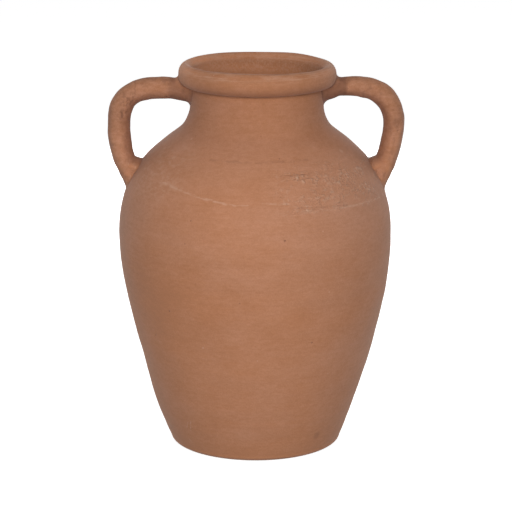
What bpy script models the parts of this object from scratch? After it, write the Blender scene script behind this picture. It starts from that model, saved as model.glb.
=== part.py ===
"""A two-handled terracotta amphora, as the pieces of clay that the potter makes and joins with slip.

The wall is thrown in four rings (belly with its floor, shoulder, neck and rolled lip), each standing in
the one below on a shallow V joint. Two hand-pulled handles stand against the neck and the shoulder, and a
collar of soft clay is pressed round each of their ends. Metres, +Z up, origin at the centre of the foot's
resting face.
"""

import math

import bmesh
import bpy
import numpy as np

MM = 0.001

# Driving dimensions: the outside of the thrown wall, as heights and the radius at each.
WALL_OUTLINE = (
    ("foot corner", 6, 85.4),
    ("belly", 30, 95.3),
    ("belly", 70, 107.9),
    ("belly", 120, 121.1),
    ("belly", 165, 130.7),
    ("widest part", 205, 135.2),
    ("belly", 230, 134.5),
    ("belly", 252, 130),
    ("shoulder", 272, 122.3),
    ("shoulder", 290, 109.6),
    ("shoulder", 307, 91.3),
    ("shoulder", 322, 73.6),
    ("neck", 336, 66.8),
    ("neck", 350, 66.0),
    ("neck", 368, 65.6),
)
WALL_HEIGHTS = np.array([height for _, height, _ in WALL_OUTLINE]) * MM
WALL_RADII = np.array([radius for _, _, radius in WALL_OUTLINE]) * MM
FOOT_RADIUS = 75.6 * MM
WALL_THICKNESS = 7.5 * MM
FLOOR_THICKNESS = 11 * MM
FLOOR_CORNER_HEIGHT = 34 * MM
FLOOR_FLAT_RADIUS = 70 * MM

# The rolled lip is an oval roll round the top of the neck.
LIP_CENTRE_RADIUS = 71.5 * MM
LIP_CENTRE_HEIGHT = 374 * MM
LIP_HALF_WIDTH = 6.8 * MM
LIP_HALF_HEIGHT = 9.6 * MM
LIP_CREASE_ANGLE = math.radians(-137)
LIP_INNER_ANGLE = math.radians(158)

# The thrown rings meet at these heights of the outside wall.
SHOULDER_SEAM = 258 * MM
NECK_SEAM = 331 * MM
LIP_SEAM = 366.4 * MM
SEAM_DEPTH = 2 * MM
SEAM_SHAPE = ((0, 0), (0.2, 0), (0.5, 1), (0.8, 0), (1, 0))

JOINT_GAP = 0.35 * MM
TURNED_SIDES = 48
HANDLE_SIDES = 18
HANDLE_STEPS = 26
COLLAR_STEPS = 8

# Each handle's middle line in the XZ plane, from inside the neck to inside the shoulder: millimetres out
# from the axis, height, and the half thickness in that plane and across it. The ends thin out inside their
# collars.
HANDLE_LINES = {
    "left": (
        (56, 357.0, 9.2, 10.6),
        (70, 357.8, 9.2, 10.6),
        (81, 358.7, 9.4, 10.9),
        (92, 359.0, 10.7, 12.0),
        (107, 358.2, 10.9, 12.0),
        (118, 355.4, 10.8, 12.0),
        (127.2, 349.4, 10.9, 12.2),
        (133.4, 337.5, 11.1, 12.4),
        (135.4, 322, 11.3, 12.5),
        (134.4, 306, 11.1, 12.5),
        (131.4, 292, 10.6, 12.3),
        (126.6, 279.5, 9.6, 11.4),
        (119, 265, 9.4, 11.2),
    ),
    "right": (
        (56, 357.5, 8.6, 10.6),
        (70, 358.8, 8.4, 10.6),
        (81, 360.2, 8.1, 10.7),
        (92, 360.7, 9.4, 11.8),
        (105, 359.9, 10.3, 12.0),
        (115.5, 357.4, 10.7, 12.0),
        (124.8, 351.6, 11.0, 12.2),
        (131.8, 342.5, 10.8, 12.3),
        (135.6, 330, 10.6, 12.4),
        (135.6, 317, 10.4, 12.4),
        (133.5, 303.5, 10.4, 12.4),
        (129.6, 291, 10.0, 12.2),
        (124.6, 278.5, 9.3, 11.3),
        (118, 264, 9.2, 11.2),
    ),
}

# The collars, in the same terms, each from its thin edge on the handle to inside the wall.
COLLAR_LINES = {
    "left_neck_collar": (
        (88, 358.9, 10.5, 12.0),
        (79, 358.5, 10.8, 12.6),
        (70, 357.6, 12.0, 14.2),
        (61, 356.6, 18, 19),
    ),
    "left_shoulder_collar": (
        (130.6, 289.5, 11.0, 12.8),
        (126, 282, 13.0, 14.4),
        (120, 274, 16.5, 17),
        (112, 265, 19, 19),
    ),
    "right_neck_collar": (
        (88, 360.6, 9.4, 11.9),
        (79, 359.9, 9.9, 12.6),
        (70, 358.6, 11.8, 14.2),
        (61, 357.2, 17.5, 19),
    ),
    "right_shoulder_collar": (
        (128.8, 289, 10.7, 12.7),
        (124.6, 281.6, 12.6, 14.3),
        (119, 273.6, 16.2, 17),
        (111.5, 265, 19, 19),
    ),
}

# Colours as linear red, green and blue.
CLAYS = {
    "terracotta": (0.40, 0.18, 0.098),
    "handle_clay": (0.37, 0.165, 0.09),
    "collar_clay": (0.29, 0.128, 0.07),
}
CLAY_ROUGHNESS = 0.9


def smooth_through(knots, values, at):
    """The values at the places in at, on a smooth curve through values at knots."""
    slopes = np.gradient(values, knots, axis=0, edge_order=2)
    span = np.clip(np.searchsorted(knots, at, side="right") - 1, 0, len(knots) - 2)
    width = knots[span + 1] - knots[span]
    t = (at - knots[span]) / width
    if values.ndim > 1:
        t, width = t[:, None], width[:, None]
    rise = t * t * (3 - 2 * t)
    leaving = t * (1 - t) ** 2 * width * slopes[span]
    arriving = t * t * (1 - t) * width * slopes[span + 1]
    return values[span] * (1 - rise) + values[span + 1] * rise + leaving - arriving


def wall_outside(heights):
    """Points (radius, height) on the outside of the thrown wall."""
    return np.stack([smooth_through(WALL_HEIGHTS, WALL_RADII, heights), heights], axis=1)


def wall_outward(heights):
    """The outward unit normals there, in the same plane."""
    reach = 0.1 * MM
    along = wall_outside(heights + reach) - wall_outside(heights - reach)
    outward = np.stack([along[:, 1], -along[:, 0]], axis=1)
    return outward / np.linalg.norm(outward, axis=1)[:, None]


def wall_inside(heights):
    """Points on the inside of the wall, across from the outside at those heights."""
    return wall_outside(heights) - WALL_THICKNESS * wall_outward(heights)


def rows(low, high, spacing):
    return np.linspace(low, high, max(2, round((high - low) / spacing) + 1))


def seam(height, drop=0.0):
    """The V joint across the wall, from outside to inside. It lies drop lower on the piece under it."""
    at = np.array([height])
    outside, outward = wall_outside(at)[0], wall_outward(at)[0]
    upward = np.array([-outward[1], outward[0]])
    return [
        outside - across * WALL_THICKNESS * outward - (down * SEAM_DEPTH + drop) * upward
        for across, down in SEAM_SHAPE
    ]


def quarter_round(flat, side, steps):
    """From a point on a flat to a point on the wall beside it, round a corner."""
    turn = np.linspace(0, math.pi / 2, steps)
    (flat_r, flat_z), (side_r, side_z) = flat, side
    across, up = side_r - flat_r, side_z - flat_z
    return [np.array([flat_r + across * math.sin(a), flat_z + up * (1 - math.cos(a))]) for a in turn]


def belly_outside(spacing):
    """The outside of the foot's corner and of the belly, from the resting face up to the shoulder seam."""
    low = WALL_HEIGHTS[0]
    corner = quarter_round((FOOT_RADIUS, 0), wall_outside(np.array([low]))[0], steps=5)
    return corner + list(wall_outside(rows(low, SHOULDER_SEAM, spacing))[1:-1])


def lip_roll(first_angle, last_angle, steps):
    """Points round the oval roll."""
    centre = np.array([LIP_CENTRE_RADIUS, LIP_CENTRE_HEIGHT])
    half_size = np.array([LIP_HALF_WIDTH, LIP_HALF_HEIGHT])
    angles = np.linspace(first_angle, last_angle, steps)
    return [centre + half_size * np.array([math.cos(a), math.sin(a)]) for a in angles]


def belly_profile():
    inner = wall_inside(rows(FLOOR_CORNER_HEIGHT, SHOULDER_SEAM, 28 * MM))[:-1]
    corner = quarter_round((FLOOR_FLAT_RADIUS, FLOOR_THICKNESS), inner[0], steps=5)
    inside = list(inner[:0:-1]) + corner[::-1]
    return (
        [np.zeros(2)]
        + belly_outside(21 * MM)
        + seam(SHOULDER_SEAM, JOINT_GAP)
        + inside
        + [np.array([0, FLOOR_THICKNESS])]
    )


def ring_profile(low, high, spacing):
    """A thrown ring between two seams, as a closed loop."""
    middle = rows(low, high, spacing)[1:-1]
    outside, inside = list(wall_outside(middle)), list(wall_inside(middle[::-1]))
    return outside + seam(high, JOINT_GAP) + inside + seam(low)[::-1]


def lip_profile():
    roll = lip_roll(LIP_CREASE_ANGLE, LIP_INNER_ANGLE, steps=14)
    inside_bottom = seam(LIP_SEAM)[-1]
    funnel = [roll[-1] * (1 - s) + inside_bottom * s for s in (0.35, 0.7)]
    return roll + funnel + seam(LIP_SEAM)[::-1]


def grown(profile, distance):
    """An open profile moved outward by a distance, with its corners mitred."""
    points = np.array(profile)
    along = np.diff(points, axis=0)
    outward = np.stack([along[:, 1], -along[:, 0]], axis=1) / np.linalg.norm(along, axis=1)[:, None]
    before, after = np.vstack([outward[:1], outward]), np.vstack([outward, outward[-1:]])
    mitre = (before + after) / (1 + (before * after).sum(axis=1))[:, None]
    return list(points + distance * mitre)


def envelope_profile():
    """The whole vessel's outside, a joint gap larger, filled to the axis."""
    outside = (
        belly_outside(21 * MM)
        + list(wall_outside(rows(SHOULDER_SEAM, NECK_SEAM, 9 * MM)))
        + list(wall_outside(rows(NECK_SEAM, LIP_SEAM, 9 * MM))[1:])
        + lip_roll(LIP_CREASE_ANGLE, math.pi / 2, steps=12)
    )
    bigger = grown(outside, JOINT_GAP)
    return [np.array([0, bigger[0][1]])] + bigger + [np.array([0, bigger[-1][1]])]


def finished(name, shape, clay=None):
    """An object from a bmesh: a piece of clay, or a cutter when no clay is given."""
    bmesh.ops.recalc_face_normals(shape, faces=shape.faces)
    mesh = bpy.data.meshes.new(name)
    shape.to_mesh(mesh)
    shape.free()
    piece = bpy.data.objects.new(name, mesh)
    bpy.context.scene.collection.objects.link(piece)
    if clay is None:
        piece.hide_render = True
        piece.display_type = "WIRE"
    else:
        mesh.materials.append(clay)
        mesh.shade_smooth()
        mesh.set_sharp_from_angle(angle=math.radians(40))
    return piece


def turned(name, profile, clay=None):
    """A piece turned about Z from a closed profile, or from an open one with both ends on the axis."""
    shape = bmesh.new()
    points = [shape.verts.new((radius, 0, height)) for radius, height in profile]
    on_axis = profile[0][0] == 0 and profile[-1][0] == 0
    pairs = zip(points, points[1:] if on_axis else points[1:] + points[:1])
    edges = [shape.edges.new(pair) for pair in pairs]
    bmesh.ops.spin(
        shape,
        geom=points + edges,
        cent=(0, 0, 0),
        axis=(0, 0, 1),
        dvec=(0, 0, 0),
        angle=2 * math.pi,
        steps=TURNED_SIDES,
        use_merge=True,
    )
    bmesh.ops.remove_doubles(shape, verts=shape.verts, dist=0.001 * MM)
    return finished(name, shape, clay)


def swept(name, line, side, steps, clay=None, grow=0.0):
    """A bar of oval section along a line of (out, height, half thickness, half width), on one side."""
    line = np.array(line) * MM
    along = np.concatenate([[0], np.cumsum(np.linalg.norm(np.diff(line[:, :2], axis=0), axis=1))])
    at = np.linspace(0, along[-1], steps)
    stations = smooth_through(along, line, at)
    headings = np.gradient(stations[:, :2], at, axis=0)
    headings /= np.linalg.norm(headings, axis=1)[:, None]
    shape = bmesh.new()
    turns = np.linspace(0, 2 * math.pi, HANDLE_SIDES, endpoint=False)
    rings = []
    for (out, height, thick, wide), (go_out, go_up) in zip(stations, headings):
        ring = []
        for turn in turns:
            lift = (thick + grow) * math.cos(turn)
            place = (side * (out - lift * go_up), (wide + grow) * math.sin(turn), height + lift * go_out)
            ring.append(shape.verts.new(place))
        rings.append(ring)
    for one, other in zip(rings, rings[1:]):
        for i in range(HANDLE_SIDES):
            j = (i + 1) % HANDLE_SIDES
            shape.faces.new((one[i], one[j], other[j], other[i]))
    shape.faces.new(rings[0])
    shape.faces.new(rings[-1])
    return finished(name, shape, clay)


def cut(piece, cutter):
    modifier = piece.modifiers.new("cut_" + cutter.name, "BOOLEAN")
    modifier.operation = "DIFFERENCE"
    modifier.solver = "EXACT"
    modifier.object = cutter


def clay(name):
    material = bpy.data.materials.new(name)
    material.use_nodes = True
    shader = material.node_tree.nodes["Principled BSDF"]
    shader.inputs["Base Color"].default_value = (*CLAYS[name], 1)
    shader.inputs["Roughness"].default_value = CLAY_ROUGHNESS
    shader.inputs["Metallic"].default_value = 0
    return material


def build_thrown_wall(terracotta):
    turned("belly", belly_profile(), terracotta)
    turned("shoulder", ring_profile(SHOULDER_SEAM, NECK_SEAM, 9 * MM), terracotta)
    turned("neck", ring_profile(NECK_SEAM, LIP_SEAM, 9 * MM), terracotta)
    turned("rolled_lip", lip_profile(), terracotta)


def build_handle(side_name, side, handle_clay, collar_clay, envelope):
    """One handle and its two collars, each cut to stand a joint gap off the wall and off each other."""
    line = HANDLE_LINES[side_name]
    handle = swept(side_name + "_handle", line, side, HANDLE_STEPS, handle_clay)
    cut(handle, envelope)
    socket = swept(side_name + "_handle_cutter", line, side, HANDLE_STEPS, grow=JOINT_GAP)
    for name, collar_line in COLLAR_LINES.items():
        if name.startswith(side_name):
            collar = swept(name, collar_line, side, COLLAR_STEPS, collar_clay)
            cut(collar, envelope)
            cut(collar, socket)


def main():
    for thing in list(bpy.data.objects):
        bpy.data.objects.remove(thing)
    terracotta, handle_clay, collar_clay = (clay(name) for name in CLAYS)
    build_thrown_wall(terracotta)
    envelope = turned("vessel_cutter", envelope_profile())
    build_handle("left", -1, handle_clay, collar_clay, envelope)
    build_handle("right", 1, handle_clay, collar_clay, envelope)


main()
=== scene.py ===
"""The looks of a two-handled terracotta amphora, built round the solids of its frame.

The wall is one hand-thrown surface, cut into the frame's four rings at their seams. Each handle is one
modelled surface that flows into the wall, cut into the frame's shaft and two collars. Lengths are in
millimetres until a mesh is written, and then in metres like the frame.
"""

import math

import bmesh
import bpy
import numpy as np
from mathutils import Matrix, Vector


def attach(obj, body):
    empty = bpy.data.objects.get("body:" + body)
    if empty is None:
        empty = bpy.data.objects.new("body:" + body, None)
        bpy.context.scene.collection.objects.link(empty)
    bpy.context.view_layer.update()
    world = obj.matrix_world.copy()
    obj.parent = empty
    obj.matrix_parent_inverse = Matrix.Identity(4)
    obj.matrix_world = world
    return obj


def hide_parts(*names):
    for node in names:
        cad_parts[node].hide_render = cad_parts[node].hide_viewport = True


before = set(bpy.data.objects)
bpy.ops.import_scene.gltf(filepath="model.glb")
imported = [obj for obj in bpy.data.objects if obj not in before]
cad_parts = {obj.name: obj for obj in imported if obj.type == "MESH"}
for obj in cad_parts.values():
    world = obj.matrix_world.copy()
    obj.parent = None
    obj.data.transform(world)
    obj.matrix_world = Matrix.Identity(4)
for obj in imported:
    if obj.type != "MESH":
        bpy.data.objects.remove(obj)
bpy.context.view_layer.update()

MM = 0.001
TINY = 1e-6

# The thrown wall, as in the frame's own design: heights, the outside radius at each, and what lies behind it.
WALL_HEIGHTS = np.array([6, 30, 70, 120, 165, 205, 230, 252, 272, 290, 307, 322, 336, 350, 368.0])
WALL_RADII = np.array(
    [85.4, 95.3, 107.9, 121.1, 130.7, 135.2, 134.5, 130, 122.3, 109.6, 91.3, 73.6, 66.8, 66.0, 65.6]
)
FOOT_RADIUS = 75.6
WALL_THICKNESS = 7.5
FLOOR_THICKNESS = 11.0
FLOOR_CORNER_HEIGHT = 34.0
FLOOR_FLAT_RADIUS = 70.0
LIP_CENTRE = np.array([70.9, 372.9])
LIP_HALF_SIZE = np.array([7.4, 10.7])
LIP_CREASE_ANGLE = math.radians(-122)
LIP_INNER_ANGLE = math.radians(165)
LIP_INSIDE_SEAM = 356.0
LIP_GROOVE_HEIGHT, LIP_GROOVE_REACH, LIP_GROOVE_DEPTH = 364.9, 3.3, 1.5
SHOULDER_SEAM = 258.0
NECK_SEAM = 331.0
LIP_SEAM = 364.6

# The hidden V joint between two rings: its depth, and how far across and down each of its rows lies.
SEAM_DEPTH = 2.0
SEAM_SHAPE = ((0.2, 0), (0.5, 1), (0.8, 0))

# The wall's mesh: the step along its section, the steps to a row outside and inside, and its sides.
FINE = 0.5
OUTSIDE_ROW = 3
INSIDE_ROW = 9
TURNED_SIDES = 320
ROLL_POINTS = 110
QUARTER_POINTS = 40

# How softly the section's corners at the lip are rubbed round, and over how many steps to each side.
CREASE_SOFTNESS = 1.1
CREASE_SPREADS = (("lip_out", 14), ("lip_in", 24))

# How the wheel and the hand left the wall: its middle wanders with height, and the lip's plane leans.
WANDER_HEIGHTS = np.array([0, 40, 90, 160, 300, 337, 384.0])
WANDER = np.array([-0.4, -1.1, -0.7, -0.4, -0.4, 0.6, 1.3])
LIP_LEAN = -0.009
LEAN_FROM, LEAN_TO = 330.0, 374.0

# The wall's unevenness: how deep each kind is, how the rings fade away from the shoulder, and how all of it
# fades in above the foot.
RIPPLE_WAVES = 28
THROWN_DEPTH, DIPS_DEPTH = 0.30, 0.10
RINGS_DEPTH, FINE_RINGS_DEPTH = 0.07, 0.035
RINGS_LEFT = 0.4
RINGS_HEIGHT, RINGS_REACH = 285, 38
SMOOTH_FOOT, UNEVEN_WALL = 8, 30

# Each limb's middle line in the XZ plane: out from the axis, height, half thickness in the plane, half width.
LIMB_LINES = {
    "left": (
        (56, 356.0, 12.5, 15.5), (70, 357.6, 11.7, 13.8), (81, 358.7, 10.6, 12.4),
        (92, 359.0, 10.7, 12.0), (107, 358.2, 10.9, 12.0), (118, 355.4, 10.8, 12.0),
        (127.2, 349.4, 10.9, 12.2), (133.4, 337.5, 11.1, 12.4), (135.4, 322, 11.3, 12.5),
        (134.4, 306, 11.1, 12.5), (131.4, 292, 10.9, 12.4), (126.6, 279.5, 10.6, 13.0),
        (119, 265, 11.5, 14.5),
    ),
    "right": (
        (56, 356.6, 12.5, 15.5), (70, 358.4, 11.2, 13.8), (81, 360.2, 9.3, 12.4),
        (92, 360.7, 9.4, 11.8), (105, 359.9, 10.3, 12.0), (115.5, 357.4, 10.7, 12.0),
        (124.8, 351.6, 11.0, 12.2), (131.8, 342.5, 10.8, 12.3), (135.6, 330, 10.6, 12.4),
        (135.6, 317, 10.4, 12.4), (133.5, 303.5, 10.4, 12.4), (129.6, 291, 10.3, 12.3),
        (124.6, 278.5, 10.3, 13.0), (118, 264, 11.3, 14.5),
    ),
}

# The web of soft clay pressed into the corner under each handle, in the same terms.
WEB_LINES = {
    "left": ((126, 283.1, 9.0, 13.0), (116, 279.6, 9.0, 14.5), (106, 276.1, 9.0, 16.5)),
    "right": ((121.5, 282.7, 9.0, 13.0), (113.5, 279.8, 9.0, 14.5), (105, 276.8, 9.0, 16.5)),
}

# Where each limb is cut: how far out on the upper arm, height and slope on the lower arm, and the height that
# parts the arms. A face with more corners than any shown one is the hidden cap of a cut.
NECK_COLLAR_OUT = {"left": 85.0, "right": 90.0}
SHOULDER_COLLAR_HEIGHT = {"left": 289.5, "right": 289.0}
SHOULDER_CUT_SLOPE = (0.33, 0.944)
ARMS_PARTED = 320
SHOWN_CORNERS = 8

# The box that a limb's mesh is made in, its step, and the middle of the loop under a handle.
LIMB_STEP = 1.0
LIMB_REACH = (54.0, 152.0)
LIMB_HALF_WIDTH = 26.0
LIMB_HEIGHTS = (240.0, 386.0)
LOOP_MIDDLE = (95.0, 0.0, 322.0)

# Charts: step, corners as radius and height, stations on each line, and the wall's section near the limbs.
CHART_STEP = 0.5
CHART_CORNERS = ((50, 236), (160, 390))
BAR_STATIONS, WEB_STATIONS, CUT_STATIONS = 120, 12, 200
SECTION_FROM, SECTION_TO, SECTION_ROW = 80, 60, 2

# How a limb runs into the wall: fillets, the reach of the corner's painted shade and painted light, and the
# skirt of clay that runs on over it.
NECK_FILLET, SHOULDER_FILLET, WEB_FILLET = 6.5, 2.6, 0.8
FILLET_HEIGHTS = (310, 340)
CREASE_REACH = 5.0
SKIRT_SINK = 0.35
SKIRT_WIDTH = 3.0
SKIRT_DEPTH = 1.8

# How deep the marks of pulling and of pressing fingers are on a limb.
PULLED_DEPTH, PRESSED_DEPTH = 0.22, 0.10

# The fired clay's colours, the dark one serving both real stains and painted shade, and the gloss of its dry
# dusty skin.
ORANGE_CLAY = (0.452, 0.188, 0.088, 1)
PINK_CLAY = (0.468, 0.223, 0.133, 1)
PALE_CLAY = (0.600, 0.360, 0.250, 1)
DARK_STAIN_AND_SHADE = (0.150, 0.060, 0.035, 1)
TINTED_CLAY = (0.500, 0.205, 0.090, 1)
CLAY_GLOSS = {"Specular IOR Level": 0.3, "Sheen Weight": 0.08, "Sheen Roughness": 0.45}
BARE_ROUGHNESS = 0.86

# The clay's noises: lengths along X, Y and Z, detail, and seed.
NOISES = {
    "cloud": ((120, 120, 90), 3, 1.3),
    "blotch": ((34, 34, 22), 4, 4.1),
    "wipes": ((150, 150, 3.6), 3, 2.2),
    "fine_wipes": ((40, 40, 1.6), 3, 6.6),
    "mottle": ((6, 6, 3), 3, 15.2),
    "grain": ((1.3, 1.3, 1.3), 3, 8.5),
    "wobble": ((5, 5, 2.5), 3, 3.7),
    "patches": ((7, 7, 3), 3, 13.9),
    "rubbed": ((20, 20, 9), 3, 7.7),
    "crackle_warp": ((6, 6, 5), 2, 5.9),
    "level_rubs": ((8, 8, 2.2), 3, 11.3),
    "upright_rubs": ((3.6, 3.6, 6.5), 3, 14.3),
    "lip_wear": ((15, 15, 4), 3, 16.4),
    "left_dust": ((7, 7, 3.5), 4, 21.7),
    "lip_dust": ((2.2, 2.2, 2.2), 3, 20.1),
    "pull_marks": ((30, 2.6, 30), 3, 12.1),
    "slip_tint": ((14, 14, 9), 2, 2.9),
    "finger_smears": ((2.4, 6, 9), 3, 10.4),
    "smudges": ((7, 7, 11), 5, 18.3),
    "grime": ((3, 3, 4), 3, 19.4),
}
BODY_NOISES = ("cloud", "blotch", "wipes", "fine_wipes", "mottle", "grain")

# How much each noise moves the clay's hue, tone and height. Mottle is stronger on the handles.
HUE_NOISE = {"cloud": 0.35, "blotch": 0.25, "fine_wipes": 0.08}
HUE_MOTTLE = {"mottle": 0.18, "grain": 0.08}
TONE_NOISE = {"blotch": 0.045, "grain": 0.07}
TONE_MOTTLE = {"mottle": 0.045}
TONE_WIPES = {"wipes": 0.026, "fine_wipes": 0.022}
HEIGHT_NOISE = {"blotch": 0.05, "mottle": 0.02, "grain": 0.03}
HEIGHT_WIPES = {"wipes": 0.04, "fine_wipes": 0.02}

# The edges of zones, where each begins, is whole, is whole no more and ends: degrees round, or heights.
NECK_HEIGHTS = (312, 330, 356, 366)
RUBBED_TURNS, RUBBED_HEIGHTS = (2, 20, 60, 88), (252, 262, 290, 306)
LEFT_DUST_TURNS, LEFT_DUST_HEIGHTS = (-84, -66, -50, -30), (255, 275, 300, 318)
LEFT_LIP_TURNS = (-150, -110, -80, -40)
UNDER_LIP_SHADE_HEIGHTS = (358.3, 361.3, 364, 373)

# Gradual changes from one height to another, with the amounts at the two where they are not 0 and 1.
WIPED_WALL, WARM_FOOT, WARM_LIP = (110, 240), (80, 235, 0.34, 0.0), (354, 362, 0.0, 0.3)
FOOT_TONE, NECK_TONE, THROAT_LIGHT = (100, 210, 0.075, 0.0), (312, 330, 0.0, -0.1), (354, 374, 0.04, 0.26)
HANDLE_ROOT, CREASE_SHADE, CUFF_HEIGHTS = (336, 348), (310, 330, 0.35, 0.0), (325, 340)
LIP_TOP, THROAT_TOP, CREST_SIDES, LIP_CREST = (375, 378), (375, 380), (375, 381), (373, 380)
LEFT_LIP_HEIGHTS, LIP_END_HEIGHTS, BOTTOM_EDGE_HEIGHTS = (360, 366), (362, 368), (0.4, 3.0)
LOWER_JOINT, OUTER_ARM, LINE_HEIGHTS = (280, 300), (330, 350), (350, 354)

# The same by radius, by degrees to either side of the front, by X or Y, and by how a handle faces its loop.
THROAT_RADII = (61, 64)
CREST_TURNS, LIP_END_TURNS, UNDER_LIP_SHADE_TURNS = (35, 65), (40, 75), (45, 75)
LEFT_CUFF_EDGE, RIGHT_CUFF_EDGE = (-89.5, -81.5), (87, 91)
ROOT_SIDES, CUFF_DEPTH, THROAT_BACK = (-30, 30, 1.0, 0.75), (-20, 20, 0.42, 0.64), (5, 50)
OUTER_SIDE_SHADE, INNER_SIDE_SHADE = (-0.95, -0.5, 0.3, 0.0), (0.0, 0.9, 0.0, 0.42)

# How strong the rubbed shoulder's marks are, as paleness and as relief, and the wall's pale marks, and its
# dark marks and painted shade.
RUBBED_PALENESS = {"level": 0.52, "upright": 0.56, "crackle": 0.28}
RUBBED_RELIEF = {"crackle": 0.45, "level": 0.4, "upright": 0.5}
PALE_MARKS = {"spots": 0.42, "worn_lip": 0.3, "lip_dust": 0.26, "left_dust": 0.3}
DARK_MARKS_AND_SHADE = {"pits": 0.5, "smudge": 0.25, "under_lip_shade": 0.32, "dark_bottom_edge": 0.6}
WALL_RELIEF = {"rim_lines": 0.15, "pale_lines": 0.10, "dark_lines": -0.20, "pits": -0.5}
HANDLE_RELIEF = {"pull_marks": 0.05, "smears": 0.1, "nicks": -0.5}

# Marks on the wall: from and to (degrees round from the front, height), half width, strength.
PALE_STROKES = (
    ((-49, 280.5), (-9, 267), 1.0, 0.5),
    ((-9, 267), (-3.5, 267.6), 0.8, 0.3),
    ((-50, 281), (-37, 277), 2.2, 0.25),
    ((39, 259.7), (88, 257.2), 1.1, 0.5),
    ((19, 259.2), (39, 259.7), 0.9, 0.25),
    ((3, 269), (9, 268.6), 0.9, 0.45),
    ((10, 268.2), (15, 268.4), 0.8, 0.5),
    ((-40.5, 39), (-42.6, 28.5), 0.8, 0.5),
    ((-43, 37), (-45.3, 31), 0.6, 0.35),
    ((-47, 17), (-45, 14), 0.6, 0.4),
)
DARK_STROKES = (
    ((-27, 303.5), (32, 303.2), 1.0, 0.22),
    ((13, 292), (26, 292), 0.8, 0.22),
    ((17, 264), (42, 262), 0.8, 0.25),
)

# Spots and pits on the wall: degrees round from the front, height, radius.
PALE_SPOTS = (
    (-52.4, 317, 1.6), (61.5, 304.5, 3.0), (-24.7, 124.5, 1.2),
    (31.8, 180.6, 1.0), (38, 92.2, 1.0), (27.5, 37.2, 1.0),
)
DARK_PITS = (
    (-39.9, 158.2, 1.2), (11.8, 235, 1.2), (-28.2, 250.7, 1.0),
    (-30.1, 228.7, 1.0), (25.9, 129.5, 1.1), (-52.8, 127.3, 1.0),
)
SMUDGE = (40.8, 22.6, 5.0)
WARM_PATCH = (-38, 165, 60)
COOL_PATCH = (18, 262, 70)

# Marks on the handles: grime and nicks by place and radius, and where along X a drawn line lies.
HANDLE_GRIME = (((-125, -8, 347), 12), ((-130, -10, 333), 9))
HANDLE_LINE = -118.5
HANDLE_NICKS = (((139.5, -5, 344), 2.2), ((-119, -10, 358), 1.2))

# The camera, in millimetres, and its near and far limits in metres.
CAMERA_DISTANCE = 2435.0
CAMERA_HEIGHT_ANGLE = math.radians(13.64)
CAMERA_TARGET_HEIGHT = 188.7
CAMERA_LENS = 171.2
SENSOR_WIDTH = 36
CAMERA_LIMITS = (0.05, 60)

# The studio, in metres: the light from all round, the floor, and each soft light's place, size and watts.
SKY_LIGHT = 0.22
WHITE, PALE = (1, 1, 1, 1), (0.85, 0.85, 0.85, 1)
FLOOR_LOOK = {"Base Color": PALE, "Roughness": 0.9, "Emission Color": WHITE, "Emission Strength": 0.8}
FLOOR_HALF_SIZE = 12.0
LIGHT_TARGET = (0, 0, 0.19)
STUDIO_LIGHTS = (
    ("front", (0.02, -1.42, 0.66), (0.7, 0.7), 15.2),
    ("back", (0.0, 1.5, 0.5), (0.9, 0.7), 7),
    ("back_left", (-1.25, 1.0, 0.45), (0.8, 1.2), 5.5),
    ("back_right", (1.25, 1.0, 0.45), (0.8, 1.2), 6.0),
    ("top", (0.0, 0.0, 2.4), (1.0, 1.0), 3.0),
)


# -------------------- shapes in numbers


def smooth_through(knots, values, at):
    """The values at the places in at, on a smooth curve through values at knots."""
    slopes = np.gradient(values, knots, axis=0, edge_order=2)
    span = np.clip(np.searchsorted(knots, at, side="right") - 1, 0, len(knots) - 2)
    width = knots[span + 1] - knots[span]
    t = (at - knots[span]) / width
    if values.ndim > 1:
        t, width = t[:, None], width[:, None]
    rise = t * t * (3 - 2 * t)
    leaving = t * (1 - t) ** 2 * width * slopes[span]
    arriving = t * t * (1 - t) * width * slopes[span + 1]
    return values[span] * (1 - rise) + values[span + 1] * rise + leaving - arriving


def step_up(x, low, high):
    """0 below low, 1 above high, and smooth between."""
    t = np.clip((x - low) / (high - low), 0, 1)
    return t * t * (3 - 2 * t)


def smooth_min(a, b, reach):
    """The smaller of two distances, with a fillet where they are within reach of each other."""
    h = np.clip(0.5 + 0.5 * (b - a) / reach, 0, 1)
    return b + (a - b) * h - reach * h * (1 - h)


class Ripples:
    """A smooth random field: a sum of plane waves of about the given lengths along X, Y and Z."""

    def __init__(self, lengths, seed):
        chance = np.random.default_rng(seed)
        heading = chance.normal(size=(RIPPLE_WAVES, 3))
        self.waves = heading * 2 * math.pi / np.array(lengths) / 1.6
        self.phases = chance.uniform(0, 2 * math.pi, RIPPLE_WAVES)
        self.scale = math.sqrt(2 / RIPPLE_WAVES)

    def __call__(self, points):
        return np.sin(points @ self.waves.T + self.phases).sum(axis=-1) * self.scale


def unit(vectors):
    return vectors / np.maximum(np.linalg.norm(vectors, axis=-1, keepdims=True), 1e-12)


def placed(name, data):
    """A new object in the scene."""
    made = bpy.data.objects.new(name, data)
    bpy.context.scene.collection.objects.link(made)
    return made


def aimed(made, heading):
    made.rotation_mode = "QUATERNION"
    made.rotation_quaternion = heading.to_track_quat("-Z", "Y")


# -------------------- the wall


def wall_outside(heights):
    heights = np.atleast_1d(np.asarray(heights, float))
    return np.stack([smooth_through(WALL_HEIGHTS, WALL_RADII, heights), heights], axis=1)


def wall_inside(heights):
    heights = np.atleast_1d(np.asarray(heights, float))
    along = wall_outside(heights + 0.1) - wall_outside(heights - 0.1)
    return wall_outside(heights) - WALL_THICKNESS * unit(np.stack([along[:, 1], -along[:, 0]], axis=1))


def rows(low, high):
    return np.linspace(low, high, max(2, round(abs(high - low) / FINE) + 1))


def straight(start, end):
    s = rows(0, np.linalg.norm(np.subtract(end, start)))[:, None]
    return np.asarray(start) + (np.subtract(end, start)) * s / s[-1]


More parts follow.
